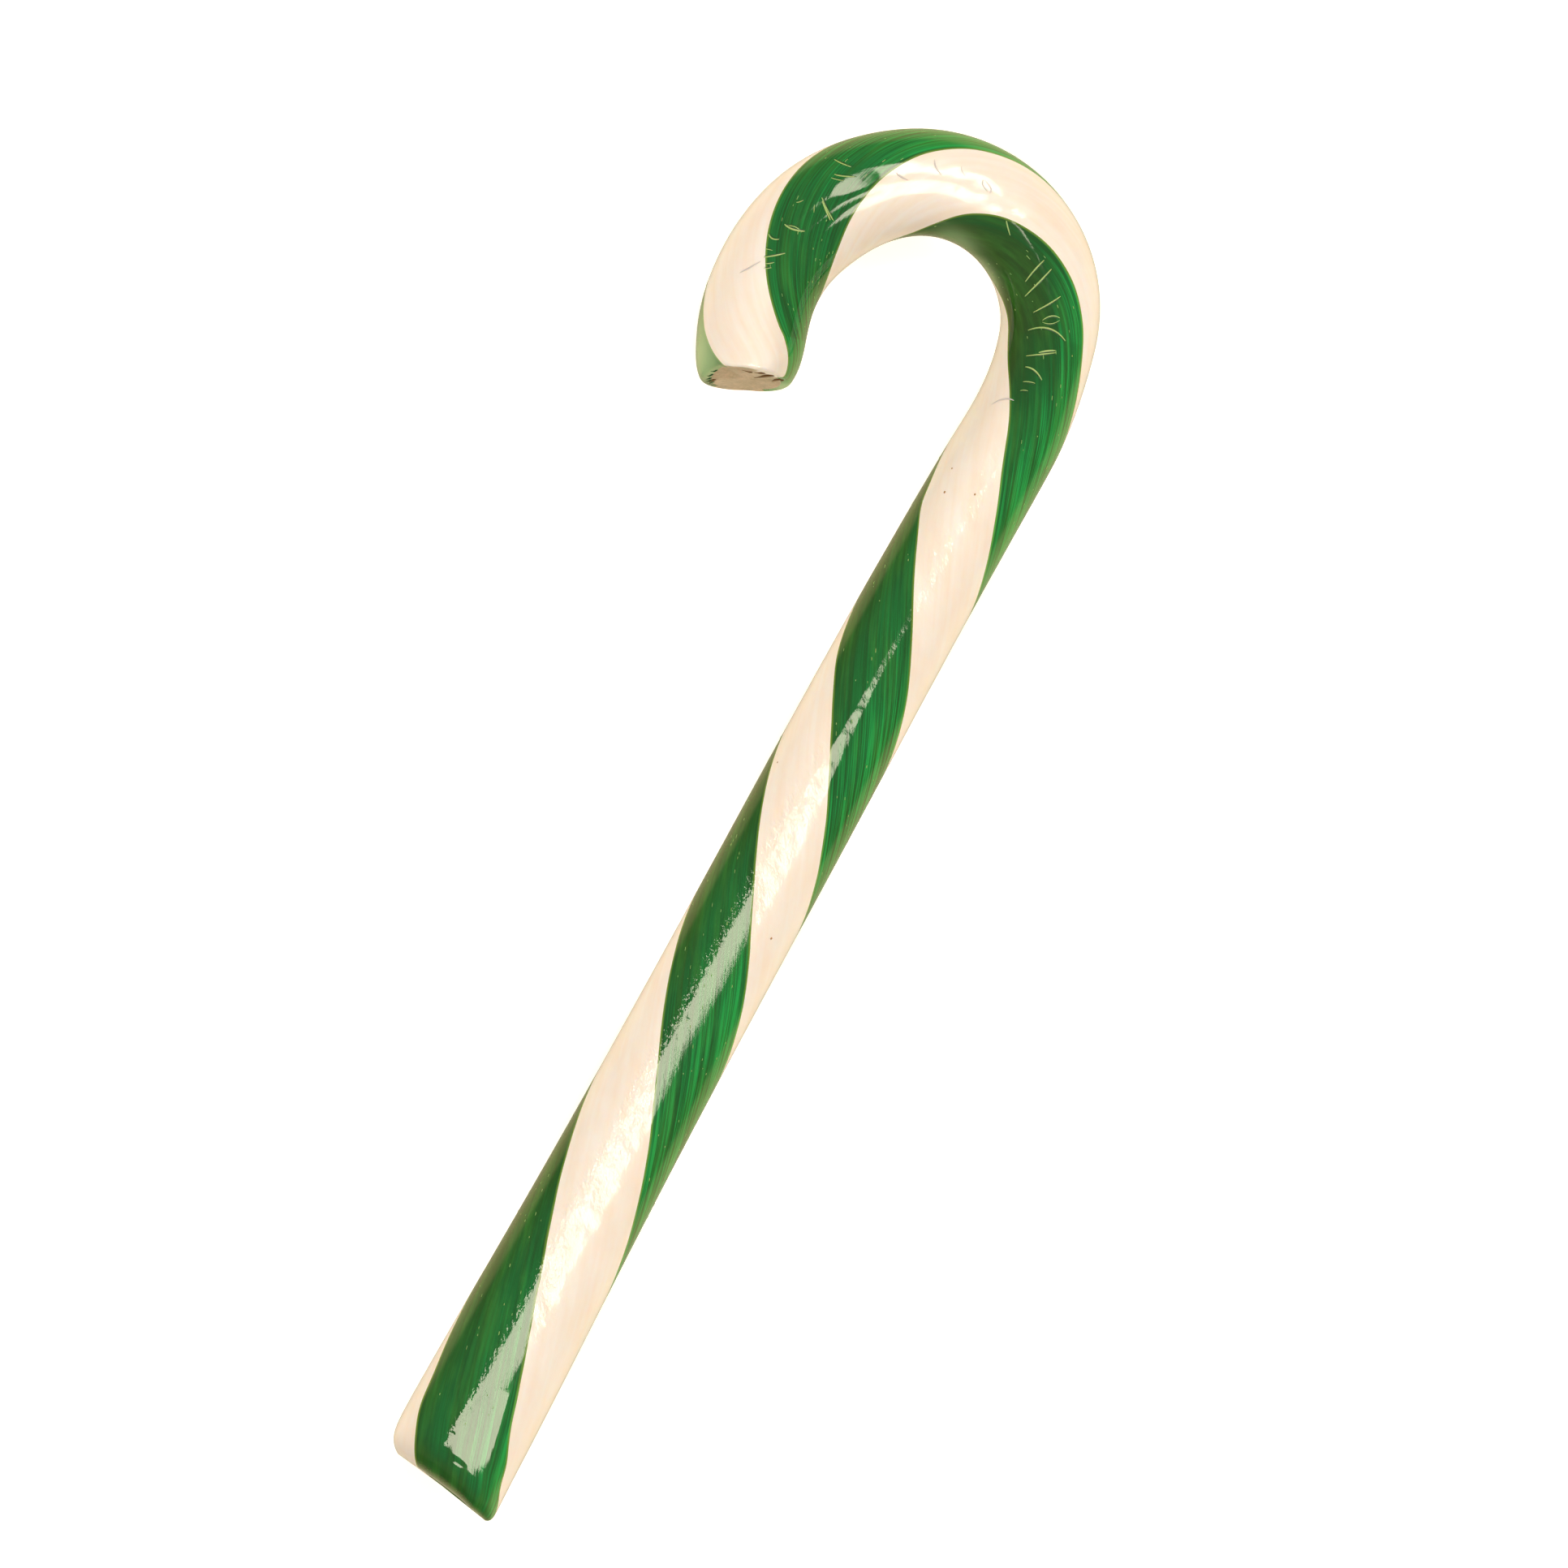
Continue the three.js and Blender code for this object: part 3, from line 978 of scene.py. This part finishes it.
# Sugar burnt to a dark caramel, hard and glossy. The same dark fills the cut's clefts as painted shade.
def scorchedSugarAndPaintedShade(colour):
    material, tree = newMaterial("scorchedSugarAndPaintedShade")
    addSurface(tree, {"Base Color": linearColour(colour), "IOR": 1.5, "Roughness": 0.3})
    return material


def skinMarks():
    shells = []
    groove = creases["groove"]
    for kind, marks in (("greenCrease", creases["onGreen"]), ("whiteCrease", creases["onWhite"])):
        for at, angle, endAt, endAngle, bow, share in marks:
            width, proud, sunk = creases["width"] * share, creases["proud"] * share, creases["sunk"]
            mark = sliver((at, angle), (endAt, endAngle), bow, width, proud, sunk, creases["steps"])
            shells.append((*mark, kind))
            if kind == "greenCrease":
                ends = (at - groove["toFoot"], angle), (endAt - groove["toFoot"], endAngle)
                mark = sliver(*ends, bow, width * groove["width"], groove["proud"], sunk, creases["steps"])
                shells.append((*mark, "groove"))
    for at, angle, size in specks["places"]:
        ends = (at - size / 2, angle), (at + size / 2, angle)
        mark = sliver(*ends, 0, size * specks["width"], specks["proud"], specks["sunk"], specks["steps"])
        shells.append((*mark, "speck"))
    shells += [(*cleft(*place), "cleft") for place in clefts["places"]]
    # the same dark green makes flecks where the green stripes reach the cut
    shells += [(*cleft(*place), "groove") for place in clefts["greenPlaces"]]
    s = bubbleDashes
    random = np.random.default_rng(s["seed"])
    for _ in range(s["count"]):
        at = random.uniform(s["clearOfEnds"][0], caneLength - s["clearOfEnds"][1])
        edges = stripeEdgesAt(np.array([at]))[:, 0]
        first = 2 * random.integers(0, 2)
        ropeAngle = edges[first] + (edges[first + 1] - edges[first]) * random.uniform(*s["acrossStripe"])
        length = random.uniform(*s["length"])
        ends = [(d, ropeAngle - twistAt(d)) for d in (at, at + length)]
        mark = sliver(*ends, 0, random.uniform(*s["width"]), s["proud"], s["sunk"], s["steps"])
        shells.append((*mark, "bubble"))
    materials = {
        "greenCrease": crackedGlazeAndPaintedShade(creases["colour"]),
        "whiteCrease": pulledWhiteSugar(),
        "speck": scorchedSugarAndPaintedShade(specks["colour"]),
        "bubble": crackedGlazeAndPaintedShade(bubbleDashes["colour"]),
        "groove": crackedGlazeAndPaintedShade(groove["colour"]),
        "cleft": scorchedSugarAndPaintedShade(clefts["colour"]),
    }
    order = list(materials)
    numbered = [(points, faces, order.index(kind)) for points, faces, kind in shells]
    return pieceOf("marksInTheGlaze", numbered, materials.values())


marks = skinMarks()
print("marks: made, with", len(marks.data.vertices), "points")


studio = {
    "floorSize": 8.0,            # metres
    "paper": "#fffaf2",
    "paperGlow": 0.55,           # a little light of its own keeps the paper white, as on a light table
    "floorDrop": 0.0002,
    "under": ("#b0a58c", 1.2),   # the room's colour straight below, and its strength
    "room": [                    # then its other parts: colour, strength, and the direction's axis and span
        ("#d3bc89", 1.7, "Z", -1.0, -0.75),
        ("#6f6a4a", 0.6, "Y", -0.3, -0.8),  # darker behind the foot
        ("#c4b596", 0.5, "Z", -0.33, -0.13),
        ("#e6f1ff", 0.3, "Z", 0.0, 0.5),
    ],
    "lampHeight": 1.2,
    "lampColour": "#fff4de",
    "lamps": {                   # metres from the camera's aim, turn in degrees
        "topLamp": {"across": 0.06, "along": -0.07, "turn": 0, "size": (0.23, 0.21), "radiance": 10.0},
        "footLamp": {"across": 0.3, "along": -0.32, "turn": 0, "size": (0.68, 0.31), "radiance": 10.0},
        "hookLamp": {"across": -0.39, "along": 0.587, "turn": 127, "size": (0.65, 0.24), "radiance": 10.0},
        "farLamp": {"across": -0.1, "along": 0.75, "turn": 0, "size": (0.3, 0.6), "radiance": 10.0},
    },
}

camera = {
    "height": 0.8,               # metres above the floor, looking straight down
    "aim": (0.01111, 0.00661),   # the middle of the picture
    "view": 0.16188,             # metres across the picture at the cane
    "subjectHeight": 0.0056,     # the cane's outline lies about this high
    "roll": 28.5,                # degrees
    "sensor": 36.0,
}


def floorPlane():
    half = studio["floorSize"] / 2
    mesh = bpy.data.meshes.new("floor")
    corners = [(-half, -half, 0), (half, -half, 0), (half, half, 0), (-half, half, 0)]
    mesh.from_pydata(corners, [], [(0, 1, 2, 3)])
    floor = bpy.data.objects.new("floor", mesh)
    floor.location.z = -studio["floorDrop"]
    bpy.context.scene.collection.objects.link(floor)
    material, tree = newMaterial("whitePaper")
    settings = {
        "Base Color": linearColour(studio["paper"]),
        "Roughness": 0.9,
        "Specular IOR Level": 0.2,
        "Emission Color": linearColour(studio["paper"]),
        "Emission Strength": studio["paperGlow"],
    }
    addSurface(tree, settings)
    floor.visible_glossy = False  # so that the gloss shows the warm room's low half in its place
    mesh.materials.append(material)


def areaLamp(name, lamp):
    light = bpy.data.lights.new(name, "AREA")
    light.shape = "RECTANGLE"
    light.size, light.size_y = lamp["size"]
    light.energy = lamp["radiance"] * math.pi * light.size * light.size_y
    light.color = linearColour(studio["lampColour"])[:3]
    item = bpy.data.objects.new(name, light)
    aimX, aimY = camera["aim"]
    item.location = (aimX + lamp["across"], aimY + lamp["along"], studio["lampHeight"])
    item.rotation_euler.z = math.radians(lamp["turn"])
    bpy.context.scene.collection.objects.link(item)


def lookDown():
    data = bpy.data.cameras.new("camera")
    data.sensor_width = camera["sensor"]
    data.lens = camera["sensor"] * (camera["height"] - camera["subjectHeight"]) / camera["view"]
    item = bpy.data.objects.new("camera", data)
    item.location = (*camera["aim"], camera["height"])
    item.rotation_euler = (0, 0, math.radians(camera["roll"]))
    bpy.context.scene.collection.objects.link(item)
    bpy.context.scene.camera = item


def surroundings():
    world = bpy.data.worlds.new("paleRoom")
    world.use_nodes = True
    tree = world.node_tree
    tree.nodes.clear()
    where = addNode(tree, "ShaderNodeTexCoord")
    direction = addNode(tree, "ShaderNodeSeparateXYZ", {}, {0: where.outputs["Generated"]}).outputs

    def strongColour(colour, strength):
        return [c * strength for c in linearColour(colour)[:3]] + [1]

    room = addNode(tree, "ShaderNodeRGB").outputs[0]
    room.default_value = strongColour(*studio["under"])
    for colour, strength, axis, start, end in studio["room"]:
        span = {"From Min": start, "From Max": end}
        share = addNode(tree, "ShaderNodeMapRange", span, {0: direction[axis]}).outputs[0]
        settings = {"Color2": strongColour(colour, strength)}
        room = addNode(tree, "ShaderNodeMixRGB", settings, {"Fac": share, "Color1": room}).outputs[0]
    background = addNode(tree, "ShaderNodeBackground", {}, {"Color": room})
    addNode(tree, "ShaderNodeOutputWorld", {}, {"Surface": background.outputs[0]})
    bpy.context.scene.world = world
    bpy.context.scene.view_settings.view_transform = "Standard"


floorPlane()
for lampName, lamp in studio["lamps"].items():
    areaLamp(lampName, lamp)
lookDown()
surroundings()
print("studio: floor, lamps and camera made")
